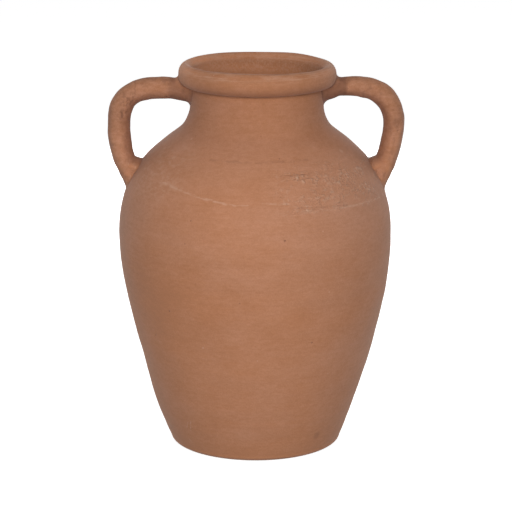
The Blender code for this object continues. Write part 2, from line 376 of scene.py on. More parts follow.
def quarter_round(flat, side):
    """A quarter of an oval, which leaves a flat stretch level and reaches a place on the wall upright."""
    turn = np.linspace(0, math.pi / 2, QUARTER_POINTS)
    return np.asarray(flat) + np.subtract(side, flat) * np.stack([np.sin(turn), 1 - np.cos(turn)], axis=1)


def grooved(path):
    """The neck's outside with the groove that a finger ran in under the lip."""
    depth = LIP_GROOVE_DEPTH * np.exp(-(((path[:, 1] - LIP_GROOVE_HEIGHT) / LIP_GROOVE_REACH) ** 2))
    return path - np.outer(depth, (1, 0))


def vessel_path():
    """The wall's whole section, and the index on it of each seam's outer and inner end.

    It runs from under the foot up the outside, over the lip, and down the inside to the floor's middle."""
    turn = np.linspace(LIP_CREASE_ANGLE, LIP_INNER_ANGLE, ROLL_POINTS)
    roll = LIP_CENTRE + LIP_HALF_SIZE * np.stack([np.cos(turn), np.sin(turn)], axis=1)
    foot_side, floor_side = wall_outside(WALL_HEIGHTS[0])[0], wall_inside(FLOOR_CORNER_HEIGHT)[0]
    stretches = [
        ("foot", straight((0, 0), (FOOT_RADIUS, 0))),
        ("", quarter_round((FOOT_RADIUS, 0), foot_side)),
        ("", wall_outside(rows(WALL_HEIGHTS[0], SHOULDER_SEAM))),
        ("shoulder_out", wall_outside(rows(SHOULDER_SEAM, NECK_SEAM))),
        ("neck_out", grooved(wall_outside(rows(NECK_SEAM, LIP_SEAM)))),
        ("lip_out", roll),
        ("", straight(roll[-1], wall_inside(LIP_INSIDE_SEAM)[0])),
        ("lip_in", wall_inside(rows(LIP_INSIDE_SEAM, NECK_SEAM))),
        ("neck_in", wall_inside(rows(NECK_SEAM, SHOULDER_SEAM))),
        ("shoulder_in", wall_inside(rows(SHOULDER_SEAM, FLOOR_CORNER_HEIGHT))),
        ("", quarter_round((FLOOR_FLAT_RADIUS, FLOOR_THICKNESS), floor_side)[::-1]),
        ("", straight((FLOOR_FLAT_RADIUS, FLOOR_THICKNESS), (0, FLOOR_THICKNESS))),
    ]
    marks, points = {}, []
    for name, stretch in stretches:
        marks[name] = max(len(points) - 1, 0)
        points += list(stretch if not points else stretch[1:])
    marks["end"] = len(points) - 1
    return softened(np.array(points), marks), marks


def softened(path, marks):
    """The path with its corners rubbed round, most of all where the lip's roll meets the neck."""
    width = int(4 * CREASE_SOFTNESS / FINE)
    kernel = np.exp(-0.5 * (np.arange(-width, width + 1) * FINE / CREASE_SOFTNESS) ** 2)
    kernel /= kernel.sum()
    for name, spread in CREASE_SPREADS:
        padded = np.pad(path, ((width, width), (0, 0)), mode="edge")
        rubbed = np.stack([np.convolve(padded[:, i], kernel, mode="valid") for i in (0, 1)], axis=1)
        share = np.exp(-0.5 * ((np.arange(len(path)) - marks[name]) / spread) ** 4)[:, None]
        path = path * (1 - share) + rubbed * share
    return path


PATH, MARKS = vessel_path()
OUTSIDE = PATH[: np.argmax(PATH[:, 1]) + 1]


def wander(points):
    """The thrown wall's lean: how far its points move from their places on the turned shape."""
    moved = points.copy()
    x, z = points[..., 0], points[..., 2]
    moved[..., 0] = x + smooth_through(WANDER_HEIGHTS, WANDER, z.ravel()).reshape(z.shape)
    moved[..., 2] = z + LIP_LEAN * x * step_up(z, LEAN_FROM, LEAN_TO)
    return moved


def turned_back(points):
    """Where points on the leaning wall lie on the turned shape."""
    return 2 * points - wander(points)


THROWN = Ripples((150, 150, 90), seed=3)
DIPS = Ripples((60, 60, 34), seed=4)
RINGS = Ripples((420, 420, 7.5), seed=5)
FINE_RINGS = Ripples((260, 260, 3.2), seed=6)


def thrown_relief(points):
    """How far the hand-thrown surface stands off the turned shape, in millimetres."""
    z = points[..., 2]
    ringed = RINGS_LEFT + (1 - RINGS_LEFT) * np.exp(-(((z - RINGS_HEIGHT) / RINGS_REACH) ** 2))
    relief = THROWN_DEPTH * THROWN(points) + DIPS_DEPTH * DIPS(points)
    relief = relief + RINGS_DEPTH * ringed * RINGS(points) + FINE_RINGS_DEPTH * ringed * FINE_RINGS(points)
    return step_up(z, SMOOTH_FOOT, UNEVEN_WALL) * relief


def wall_grid():
    """Points and outward normals of the whole thrown surface, a row for each used index of the path."""
    inside = MARKS["lip_in"]
    used = np.concatenate([np.arange(0, inside, OUTSIDE_ROW), np.arange(inside, len(PATH), INSIDE_ROW)])
    used = np.unique(np.concatenate([used, [i for n, i in MARKS.items() if n], [len(PATH) - 1]]))
    along = unit(np.gradient(PATH, axis=0))[used]
    outward = np.stack([along[:, 1], -along[:, 0]], axis=1)
    turn = np.linspace(0, 2 * math.pi, TURNED_SIDES, endpoint=False) - math.pi / 2
    around = np.stack([np.cos(turn), np.sin(turn)], axis=1)

    def spun(flat):
        ring = flat[:, None, 0, None] * around
        return np.concatenate([ring, np.broadcast_to(flat[:, None, 1, None], ring.shape[:2] + (1,))], axis=2)

    base = spun(PATH[used])
    points = wander(base + spun(outward) * thrown_relief(base)[..., None])
    across = np.roll(points, -1, axis=1) - np.roll(points, 1, axis=1)
    up = np.gradient(points, axis=0)
    normals = unit(np.cross(across, up))
    normals[0], normals[-1] = (0, 0, -1), (0, 0, 1)
    return used, points, normals, spun(along)


def ring_piece(name, loops, material):
    """A closed ring or bowl from loops of (points, normals or None), each a row round the axis.

    A row with no normals belongs to a hidden joint face. A row whose points all meet is a pole."""
    verts, index = [], []
    for points, _ in loops:
        if np.ptp(points[:, :2]) < TINY:
            index.append(np.full(len(points), len(verts)))
            verts.append(points.mean(axis=0))
        else:
            index.append(np.arange(len(verts), len(verts) + len(points)))
            verts += list(points)
    faces, face_normals = [], []
    closed = len(index[0]) == len(index[-1]) and index[0][0] != index[0][1]
    pairs = [(row, row + 1) for row in range(len(loops) - 1)]
    if closed:
        pairs.append((len(loops) - 1, 0))
    n = len(loops[0][0])
    for a, b in pairs:
        shown = loops[a][1] is not None and loops[b][1] is not None
        for i in range(n):
            j = (i + 1) % n
            corners = [(index[a][i], a, i), (index[a][j], a, j), (index[b][j], b, j), (index[b][i], b, i)]
            kept = [c for k, c in enumerate(corners) if c[0] != corners[k - 1][0]]
            faces.append([int(c[0]) for c in kept])
            face_normals += [tuple(loops[r][1][c]) if shown else (0, 0, 0) for _, r, c in kept]
    return meshed(name, np.array(verts), faces, face_normals, material)


def meshed(name, verts, faces, corner_normals, material):
    """A smooth-shaded object, with the corner normals given, and Blender's own where one is zero."""
    mesh = bpy.data.meshes.new(name)
    mesh.from_pydata(verts * MM, [], faces)
    mesh.attributes.new("crease", "FLOAT", "POINT").data.foreach_set("value", creased(verts))
    mesh.polygons.foreach_set("use_smooth", np.ones(len(faces), bool))
    mesh.normals_split_custom_set(corner_normals)
    mesh.materials.append(material)
    return placed(name, mesh)


def seam_loops(outer, inner, along):
    """The hidden V joint between a row on the outside and a row on the inside."""
    span = inner - outer
    return [(outer + span * across - along * SEAM_DEPTH * down, None) for across, down in SEAM_SHAPE]


def build_wall(material):
    used, points, normals, along = wall_grid()
    row = {name: int(np.searchsorted(used, index)) for name, index in MARKS.items() if name}
    row["foot"] = 0

    def shown(first, last):
        return [(points[i], normals[i]) for i in range(first, last + 1)]

    def joint(outer, inner):
        return seam_loops(points[row[outer]], points[row[inner]], along[row[outer]])

    belly = (
        shown(row["foot"], row["shoulder_out"])
        + joint("shoulder_out", "shoulder_in")
        + shown(row["shoulder_in"], row["end"])
    )
    pieces = {"belly": belly}
    levels = (
        ("shoulder", "shoulder_out", "neck_out", "neck_in", "shoulder_in"),
        ("neck", "neck_out", "lip_out", "lip_in", "neck_in"),
    )
    for name, low_out, high_out, high_in, low_in in levels:
        pieces[name] = (
            shown(row[low_out], row[high_out])
            + joint(high_out, high_in)
            + shown(row[high_in], row[low_in])
            + joint(low_out, low_in)[::-1]
        )
    pieces["rolled_lip"] = shown(row["lip_out"], row["lip_in"]) + joint("lip_out", "lip_in")[::-1]
    for name, loops in pieces.items():
        piece = ring_piece("thrown_" + name, loops, material)
        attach(piece, "root")
        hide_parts(name)


# -------------------- the handles


class Chart:
    """A function of two coordinates, worked out once on a square grid and read back between its points."""

    def __init__(self, function, low, high):
        self.low = np.array(low, float)
        u, v = (np.arange(a, b + CHART_STEP, CHART_STEP) for a, b in zip(low, high))
        places = np.stack(np.meshgrid(u, v, indexing="ij"), axis=-1)
        values = function(places.reshape(-1, 2))
        self.values = values.reshape(places.shape[:2] + (-1,))

    def __call__(self, places):
        at = (places - self.low) / CHART_STEP
        cell = np.clip(np.floor(at).astype(int), 0, np.array(self.values.shape[:2]) - 2)
        (u, v), (i, j) = np.clip(at - cell, 0, 1).T[:, :, None], cell.T
        near = self.values[i, j] * (1 - v) + self.values[i, j + 1] * v
        far = self.values[i + 1, j] * (1 - v) + self.values[i + 1, j + 1] * v
        return near * (1 - u) + far * u


def nearest_on(line, flat):
    """Each flat point's distance from a polyline, its side of it, and the line's other columns there."""
    away, extra = np.full(len(flat), 1e9), np.zeros((len(flat), line.shape[1] - 2))
    side = np.ones(len(flat))
    for a, b in zip(line, line[1:]):
        span, offset = b[:2] - a[:2], flat - a[:2]
        t = np.clip(offset @ span / (span @ span), 0, 1)[:, None]
        rest = offset - t * span
        gap = np.hypot(rest[:, 0], rest[:, 1])
        closer = gap < away - 1e-9
        away[closer] = gap[closer]
        side[closer] = np.where(offset[closer, 0] * span[1] >= offset[closer, 1] * span[0], 1.0, -1.0)
        extra[closer] = (a[2:] + t * (b[2:] - a[2:]))[closer]
    return away, side, extra


def wall_chart():
    """Signed distance from the turned wall's outside, by radius and height."""
    low, high = MARKS["shoulder_out"], MARKS["lip_in"]
    section = PATH[low - SECTION_FROM : high - SECTION_TO : SECTION_ROW]

    def signed(flat):
        away, side, _ = nearest_on(section, flat)
        return away * side

    return Chart(signed, *CHART_CORNERS)


def bar_chart(line, count):
    """The way to a bar's middle line, and its half thickness and half width there, by radius and height."""
    stations = line_stations(line, count)

    def sizes(flat):
        away, _, extra = nearest_on(stations, flat)
        return np.concatenate([away[:, None], extra], axis=1)

    return Chart(sizes, *CHART_CORNERS)


def line_stations(line, count):
    """Evenly spaced places on the smooth curve through a line's rows."""
    line = np.array(line, float)
    along = np.concatenate([[0], np.cumsum(np.linalg.norm(np.diff(line[:, :2], axis=0), axis=1))])
    return smooth_through(along, line, np.linspace(0, along[-1], count))


WALL_CHART = wall_chart()


def wall_distance(points):
    """Signed distance from the thrown wall's outside, positive outside it."""
    points = turned_back(points)
    return WALL_CHART(np.stack([np.hypot(points[:, 0], points[:, 1]), points[:, 2]], axis=1))[:, 0]


def bar_distance(points, chart):
    """Distance from a bar of oval section, for points with X as the way out from the axis."""
    gap, thick, wide = chart(points[:, [0, 2]]).T
    y = points[:, 1]
    ratio = np.hypot(gap / thick, y / wide)
    slope = np.hypot(gap / thick**2, y / wide**2)
    return np.where(slope < TINY, -thick, ratio * (ratio - 1) / np.maximum(slope, TINY))


PULLED = Ripples((26, 26, 26), seed=11)
PRESSED = Ripples((11, 11, 11), seed=12)


def limb_surface(side_name, side, detailed):
    """The field whose zero is one visible limb flowing into the wall: detailed adds the marks of the hand."""
    bar = bar_chart(LIMB_LINES[side_name], BAR_STATIONS)
    web = bar_chart(WEB_LINES[side_name], WEB_STATIONS)

    def field(points):
        mirrored = points * np.array([side, 1, 1])
        limb = smooth_min(bar_distance(mirrored, bar), bar_distance(mirrored, web), WEB_FILLET)
        wall = wall_distance(points) + SKIRT_SINK
        if detailed:
            limb = limb - PULLED_DEPTH * PULLED(points) - PRESSED_DEPTH * PRESSED(points)
            wall = wall - thrown_relief(turned_back(points))
        reach = SHOULDER_FILLET + (NECK_FILLET - SHOULDER_FILLET) * step_up(points[:, 2], *FILLET_HEIGHTS)
        return smooth_min(limb, wall, reach), limb, wall, reach

    return field


def limb_solid(field):
    """The field of the limb's whole solid: cut off inside the wall, where nobody sees it."""

    def solid(points):
        surface, limb, wall, reach = field(points)
        return np.maximum(np.maximum(surface, -(wall + SKIRT_DEPTH)), limb - reach - SKIRT_WIDTH)

    return solid


def slope_of(field, points, reach=0.25):
    steps = np.eye(3) * reach
    return np.stack([field(points + s) - field(points - s) for s in steps], axis=1) / (2 * reach)


def net(field, low, high, step):
    """A closed quad mesh of a field's zero surface, with one vertex in each grid cell that it crosses."""
    axes = [np.arange(a, b + step, step) for a, b in zip(low, high)]
    grid = np.stack(np.meshgrid(*axes, indexing="ij"), axis=-1)
    value = field(grid.reshape(-1, 3)).reshape(grid.shape[:3])
    cells = tuple(n - 1 for n in value.shape)
    total, count = np.zeros(cells + (3,)), np.zeros(cells)
    corners = [np.array(c) for c in np.ndindex(2, 2, 2)]

    def part(array, corner):
        return array[tuple(slice(c, c + n) for c, n in zip(corner, cells))]

    for a in corners:
        for axis in range(3):
            if a[axis]:
                continue
            b = a.copy()
            b[axis] = 1
            va, vb = part(value, a), part(value, b)
            crossed = (va < 0) != (vb < 0)
            t = np.where(crossed, va / np.where(crossed, va - vb, 1), 0)[..., None]
            place = part(grid, a) * (1 - t) + part(grid, b) * t
            total += place * crossed[..., None]
            count += crossed
    used = count > 0
    number = np.full(cells, -1)
    number[used] = np.arange(used.sum())
    verts = total[used] / count[used][:, None]
    faces = []
    for axis in range(3):
        u, v = (axis + 1) % 3, (axis + 2) % 3
        near = [slice(1, -1)] * 3
        near[axis] = slice(0, -1)
        far = list(near)
        far[axis] = slice(1, None)
        first, second = value[tuple(near)] < 0, value[tuple(far)] < 0
        for going_in, turned in ((first & ~second, False), (~first & second, True)):
            place = np.argwhere(going_in)
            place[:, [u, v]] += 1
            around = []
            for du, dv in ((-1, -1), (0, -1), (0, 0), (-1, 0)):
                cell = place.copy()
                cell[:, u] += du
                cell[:, v] += dv
                around.append(number[tuple(cell.T)])
            faces.append(np.stack(around[::-1] if turned else around, axis=1))
    return verts, np.concatenate(faces)


def settled(verts, faces, field, rounds=4):
    """The vertices evened out over the surface and laid exactly on it."""
    links = np.concatenate([faces[:, [0, 1]], faces[:, [1, 2]], faces[:, [2, 3]], faces[:, [3, 0]]])
    links = np.concatenate([links, links[:, ::-1]])
    degree = np.bincount(links[:, 0], minlength=len(verts))[:, None]
    for turn in range(rounds):
        if turn < rounds - 1:
            sums = [np.bincount(links[:, 0], verts[links[:, 1], i], len(verts)) for i in range(3)]
            verts = verts * 0.5 + 0.5 * np.stack(sums, axis=1) / degree
        value, slope = field(verts), slope_of(field, verts)
        move = -value[:, None] * slope / np.maximum((slope**2).sum(axis=1), 0.3)[:, None]
        far = np.linalg.norm(move, axis=1, keepdims=True)
        verts = verts + move * np.minimum(1, 0.6 * LIMB_STEP / np.maximum(far, 1e-9))
    return verts


def cut_off(shape, place, heading):
    """Keeps what lies behind a plane through place, and closes the cut."""
    bmesh.ops.bisect_plane(
        shape,
        geom=shape.verts[:] + shape.edges[:] + shape.faces[:],
        dist=TINY,
        plane_co=place,
        plane_no=heading,
        clear_outer=True,
    )
    rim = [edge for edge in shape.edges if edge.is_boundary]
    bmesh.ops.edgeloop_fill(shape, edges=rim)


def limb_part(name, verts, faces, cuts, surface, material):
    """One piece of a limb: the part of its mesh behind every cut, with its hidden cut faces flat."""
    shape = bmesh.new()
    made = [shape.verts.new(v) for v in verts]
    for face in faces:
        shape.faces.new([made[i] for i in face])
    for place, heading in cuts:
        cut_off(shape, place, heading)
    bmesh.ops.recalc_face_normals(shape, faces=shape.faces)
    shape.verts.index_update()
    points = np.array([v.co[:] for v in shape.verts])
    normals = unit(slope_of(lambda p: surface(p)[0], points))
    corner_normals, kept = [], []
    for face in shape.faces:
        hidden = len(face.verts) > SHOWN_CORNERS
        kept.append([v.index for v in face.verts])
        corner_normals += [(0, 0, 0) if hidden else tuple(normals[v.index]) for v in face.verts]
    shape.free()
    piece = meshed(name, points, kept, corner_normals, material)
    inward = np.array(LOOP_MIDDLE) * (math.copysign(1, points[:, 0].mean()), 0, 1) - points
    inward[:, 1] = 0
    facing = (unit(inward) * normals).sum(axis=1)
    piece.data.attributes.new("loop_side", "FLOAT", "POINT").data.foreach_set("value", facing)
    return piece


def build_limb(side_name, side, handle_material, collar_material):
    surface = limb_surface(side_name, side, detailed=True)
    low, high = sorted((LIMB_REACH[0] * side, LIMB_REACH[1] * side))
    box = ((low, -LIMB_HALF_WIDTH, LIMB_HEIGHTS[0]), (high, LIMB_HALF_WIDTH, LIMB_HEIGHTS[1]))
    verts, faces = net(limb_solid(limb_surface(side_name, side, detailed=False)), *box, LIMB_STEP)
    verts = settled(verts, faces, limb_solid(surface))
    upper = ((side * NECK_COLLAR_OUT[side_name], 0, 0), (side, 0, 0))
    line = line_stations(LIMB_LINES[side_name], CUT_STATIONS)
    lower_arm = line[len(line) // 2 :]
    at = lower_arm[np.argmin(np.abs(lower_arm[:, 1] - SHOULDER_COLLAR_HEIGHT[side_name]))]
    lower = ((side * at[0], 0, at[1]), (side * SHOULDER_CUT_SLOPE[0], 0, SHOULDER_CUT_SLOPE[1]))

    def back(cut):
        return (cut[0], tuple(-c for c in cut[1]))

    parts = (
        ("handle", (back(upper), back(lower)), handle_material, "handle_terracotta"),
        ("neck_collar", (upper, ((0, 0, ARMS_PARTED), (0, 0, -1))), collar_material, "collar_clay"),
        ("shoulder_collar", (lower,), collar_material, "collar_clay"),
    )
    for kind, cuts, material, slot in parts:
        node = f"{side_name}_{kind}"
        piece = limb_part("pulled_" + node, verts, faces, cuts, surface, material)
        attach(piece, "root")
        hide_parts(node)


SIDES = (("left", -1), ("right", 1))
BARE_LIMBS = [(side, limb_surface(name, side, detailed=False)) for name, side in SIDES]


def creased(points):
    """How deep in the corner between a limb and the wall each point is: 1 in the corner, 0 away from it."""
    depth = np.zeros(len(points))
    for side, field in BARE_LIMBS:
        near = np.nonzero((points[:, 2] > LIMB_HEIGHTS[0]) & (points[:, 0] * side > LIMB_REACH[0]))[0]
        if len(near):
            _, limb, wall, _ = field(points[near])
            depth[near] = np.maximum(depth[near], step_up(-np.abs(limb) - np.abs(wall), -CREASE_REACH, 0))
    return depth


# -------------------- clay


class Clay:
    """One clay's shader graph, in the object's own millimetres. Most methods give a node's output."""

    def __init__(self, name):
        self.material = bpy.data.materials.new(name)
        self.material.use_nodes = True
        self.tree = self.material.node_tree
        self.shader = self.tree.nodes["Principled BSDF"]
        place = self.node("TexCoord", {}, "Object")
        self.place = self.node("VectorMath", {0: place, 3: 1 / MM}, operation="SCALE")
        self.x, self.y, self.z = (self.node("SeparateXYZ", {0: self.place}, axis) for axis in "XYZ")
        self.turn = self.math("DEGREES", self.math("ARCTAN2", self.x, self.share(self.y, -1)))
        self.turn_size = self.math("ABSOLUTE", self.turn)
        self.out = self.math("SQRT", self.total(self.share(self.x, self.x), self.share(self.y, self.y)))
        self.wobble = self.noise("wobble")
        self.patchy = self.rise(self.noise("patches"), -0.6, 0.5)

    def node(self, kind, inputs, output=0, **settings):
        made = self.tree.nodes.new("ShaderNode" + kind)
        for setting, value in settings.items():
            setattr(made, setting, value)
        for slot, value in inputs.items():
            if isinstance(value, bpy.types.NodeSocket):
                self.tree.links.new(value, made.inputs[slot])
            else:
                made.inputs[slot].default_value = value
        return made.outputs[output]

    def math(self, operation, *values):
        return self.node("Math", dict(enumerate(values)), operation=operation)

    def total(self, first, *others):
        for other in others:
            first = self.math("ADD", first, other)
        return first

    def share(self, value, *factors):
        for factor in factors:
            value = self.math("MULTIPLY", value, factor)
        return value

    def shares(self, values, amounts, scale=1.0):
        """Each named value times its amount."""
        return [self.share(values[name], scale * amount) for name, amount in amounts.items()]

    def strongest(self, first, *others):
        for other in others:
            first = self.math("MAXIMUM", first, other)
        return first

    def rise(self, value, low, high, start=0.0, end=1.0):
        """From start at low to end at high, smoothly."""
        inputs = {"Value": value, "From Min": low, "From Max": high, "To Min": start, "To Max": end}
        return self.node("MapRange", inputs, interpolation_type="SMOOTHSTEP")

    def fall(self, value, low, high):
        return self.rise(value, low, high, 1.0, 0.0)

    def band(self, value, edges):
        """1 between the middle two of four edges, 0 beyond the outer two, and smooth between."""
        return self.share(self.rise(value, *edges[:2]), self.fall(value, *edges[2:]))

    def shifted(self, value, amount):
        """The value moved to and fro by the wobble, so that an edge drawn by it is ragged."""
        return self.math("MULTIPLY_ADD", self.wobble, amount, value)

    def attribute(self, name):
        return self.node("Attribute", {}, "Fac", attribute_name=name)

    def blend(self, share, first, second):
        inputs = {0: share, 6: first, 7: second}
        return self.node("Mix", inputs, 2, data_type="RGBA")

    # Blends towards the dark colour: used for real stains and for painted shade.
    def stained_or_shaded(self, colour, share):
        return self.blend(share, colour, DARK_STAIN_AND_SHADE)

    def toned(self, colour, tone):
        return self.node("VectorMath", {0: colour, 3: tone}, operation="SCALE")

    def scaled(self, place, lengths, shift):
        inputs = {0: place, 1: [1 / length for length in lengths], 2: shift}
        return self.node("VectorMath", inputs, operation="MULTIPLY_ADD")

    def noise(self, name):
        """A cloudy noise of NOISES, mostly between -1 and 1."""
        lengths, detail, seed = NOISES[name]
        scaled = self.scaled(self.place, lengths, (seed, 1.7 * seed, -2.3 * seed))
        inputs = {"Vector": scaled, "Scale": 1.0, "Detail": detail, "Roughness": 0.55}
        cloud = self.node("TexNoise", inputs, "Fac")
        return self.math("MULTIPLY_ADD", cloud, 4.0, -2.0)

    def lines_round(self, width, degrees):
        """Fine lines that run round the axis on any surface, from 0 to 1, fading every so many degrees."""
        spans = ((self.out, width), (self.z, width), (self.turn, degrees))
        inputs = {axis: self.share(value, 1 / span) for axis, (value, span) in enumerate(spans)}
        place = self.node("CombineXYZ", inputs)
        cloud = self.node("TexNoise", {"Vector": place, "Scale": 1.0, "Detail": 2.0}, "Fac")
        return self.rise(cloud, 0.45, 0.65)

    def cracks(self, lengths, warp, seed):
        """0 on the edges of irregular cells and about 1 at their middles."""
        bent = self.node("VectorMath", {0: self.place, 1: warp}, operation="ADD")
        inputs = {"Vector": self.scaled(bent, lengths, [seed] * 3), "Scale": 1.0}
        return self.rise(self.node("TexVoronoi", inputs, feature="DISTANCE_TO_EDGE"), 0.0, 0.22)

    def dot(self, place, radius):
        away = self.node("VectorMath", {0: self.place, 1: place}, "Value", operation="DISTANCE")
        return self.fall(away, 0.35 * radius, 1.2 * radius)

    def wall_dot(self, turn, height, radius):
        return self.dot(on_wall(turn, height), radius)

    def scattered(self, spacing, radius, share, seed):
        """Small dots strewn all over, in a share of cells of the given spacing."""
        inputs = {"Vector": self.scaled(self.place, [spacing] * 3, [seed] * 3), "Scale": 1.0}
        cell = self.node("TexVoronoi", inputs, "Distance").node
        chance = self.node("SeparateXYZ", {0: cell.outputs["Color"]})
        near = self.fall(cell.outputs["Distance"], 0.4 * radius / spacing, 1.2 * radius / spacing)
        return self.share(near, self.math("LESS_THAN", chance, share))

    def stroke(self, start, end, half_width):
        """A mark along the wall, from and to (degrees round from the front, height)."""
        per_degree = math.radians(radius_at((start[1] + end[1]) / 2))
        flat = self.node("CombineXYZ", {0: self.share(self.turn, per_degree), 1: self.z})
        first, last = (Vector((turn * per_degree, height, 0)) for turn, height in (start, end))
        span = last - first
        offset = self.node("VectorMath", {0: flat, 1: first}, operation="SUBTRACT")
        heading = span / span.length_squared
        along = self.node("VectorMath", {0: offset, 1: heading}, "Value", operation="DOT_PRODUCT")
        held = self.math("MINIMUM", self.math("MAXIMUM", along, 0.0), 1.0)
        nearest = self.node("VectorMath", {0: span, 3: held}, operation="SCALE")
        away = self.node("VectorMath", {0: offset, 1: nearest}, "Value", operation="DISTANCE")
        ragged = self.shifted(away, 0.5 * half_width)
        return self.share(self.fall(ragged, 0.2 * half_width, 1.6 * half_width), self.patchy)

    def strokes(self, marks):
        drawn = [self.share(self.stroke(start, end, half), depth) for start, end, half, depth in marks]
        return self.strongest(*drawn)

    def finish(self, colour, height, roughness):
        normal = self.node("Bump", {"Strength": 1.0, "Distance": MM, "Height": height}, "Normal")
        for slot, value in (("Base Color", colour), ("Roughness", roughness), ("Normal", normal)):
            self.tree.links.new(value, self.shader.inputs[slot])
        for slot, value in CLAY_GLOSS.items():
            self.shader.inputs[slot].default_value = value
        return self.material


def radius_at(height):
    return float(np.interp(height, np.maximum.accumulate(OUTSIDE[:, 1]), OUTSIDE[:, 0]))


def on_wall(turn, height):
    """A place on the wall's outside, from degrees round from the front and height."""
    radius = radius_at(height)
    return (radius * math.sin(math.radians(turn)), -radius * math.cos(math.radians(turn)), height)


def fired_body(clay, wiped, mottled, redness):
    """What all the clay shares: cloudy fire colour, wipe marks, grain, pinholes, painted shade low in the
    corners by the handles, and painted light high in those corners, on the lip's sides and at the back of the
    throat.
    """
    noises = {name: clay.noise(name) for name in BODY_NOISES}
    pinholes = clay.scattered(17, 0.7, 0.35, 5.0)
    flecks = clay.scattered(21, 0.8, 0.3, 9.0)
    on_neck = clay.band(clay.z, NECK_HEIGHTS)
    outside = clay.strongest(clay.rise(clay.out, *THROAT_RADII), clay.rise(clay.z, *LIP_TOP))
    upper = clay.rise(clay.z, *WIPED_WALL, 0.4 * wiped, wiped)
    wiping = clay.share(outside, clay.math("MULTIPLY_ADD", on_neck, -0.1, upper))
    warm = clay.total(
        clay.rise(clay.z, *WARM_FOOT),
        clay.rise(clay.z, *WARM_LIP),
        clay.share(on_neck, 0.2),
        clay.share(clay.wall_dot(*WARM_PATCH), 0.4),
    )
    hue = clay.total(
        redness,
        *clay.shares(noises, HUE_NOISE),
        *clay.shares(noises, HUE_MOTTLE, mottled),
        clay.share(warm, -1.0),
        clay.share(clay.wall_dot(*COOL_PATCH), 0.15),
    )
    colour = clay.blend(hue, ORANGE_CLAY, PINK_CLAY)
    crease = clay.attribute("crease")
    # Painted light: the corner between handle and wall is lightened by the upper roots, a little less on the
    # right.
    root = clay.share(crease, clay.rise(clay.z, *HANDLE_ROOT), clay.rise(clay.x, *ROOT_SIDES))
    # Painted light on the top of the lip towards its sides.
    side_crest_light = clay.share(clay.rise(clay.turn_size, *CREST_TURNS), clay.rise(clay.z, *CREST_SIDES))
    inside = clay.share(clay.fall(clay.out, *THROAT_RADII), clay.fall(clay.z, *THROAT_TOP))
    # Painted light: the back of the throat is lightened, more towards the lip.
    throat_back_light = clay.share(inside, clay.rise(clay.y, *THROAT_BACK), clay.rise(clay.z, *THROAT_LIGHT))
    tone = clay.total(
        1.0,
        *clay.shares(noises, TONE_NOISE),
        *clay.shares(noises, TONE_MOTTLE, mottled),
        clay.share(clay.total(*clay.shares(noises, TONE_WIPES)), wiping),
        clay.rise(clay.z, *FOOT_TONE),
        clay.rise(clay.z, *NECK_TONE),
        throat_back_light,
        root,
        clay.share(side_crest_light, 0.2),
    )
    colour = clay.toned(colour, tone)
    colour = clay.blend(clay.share(flecks, 0.5), colour, PALE_CLAY)
    colour = clay.stained_or_shaded(colour, clay.share(pinholes, 0.45))
    # Painted shade in the corners between the handles and the wall, low down.
    colour = clay.stained_or_shaded(colour, clay.share(crease, clay.rise(clay.z, *CREASE_SHADE)))
    height = clay.total(
        clay.share(clay.total(*clay.shares(noises, HEIGHT_WIPES)), wiping),
        *clay.shares(noises, HEIGHT_NOISE),
        clay.share(pinholes, -0.35),
    )
    roughness = clay.shifted(clay.math("MULTIPLY_ADD", noises["blotch"], 0.03, BARE_ROUGHNESS), 0.04)
    return colour, height, roughness


def rubbed_shoulder(clay):
    """The right shoulder's rubbed and crackled skin: how pale it is, and how its height changes."""
    zone = clay.share(
        clay.band(clay.turn, RUBBED_TURNS),
        clay.band(clay.z, RUBBED_HEIGHTS),
        clay.rise(clay.noise("rubbed"), -0.9, 0.5),
    )
    marks = {
        "crackle": clay.cracks((7.5, 7.5, 4), clay.share(clay.noise("crackle_warp"), 1.8), 2.0),
        "level": clay.rise(clay.noise("level_rubs"), -0.1, 1.0),
        "upright": clay.rise(clay.noise("upright_rubs"), -0.1, 1.0),
    }
    pale = clay.total(*clay.shares(marks, RUBBED_PALENESS), -0.24)
    relief = clay.total(*clay.shares(marks, RUBBED_RELIEF))
    return clay.share(zone, pale), clay.share(zone, relief)


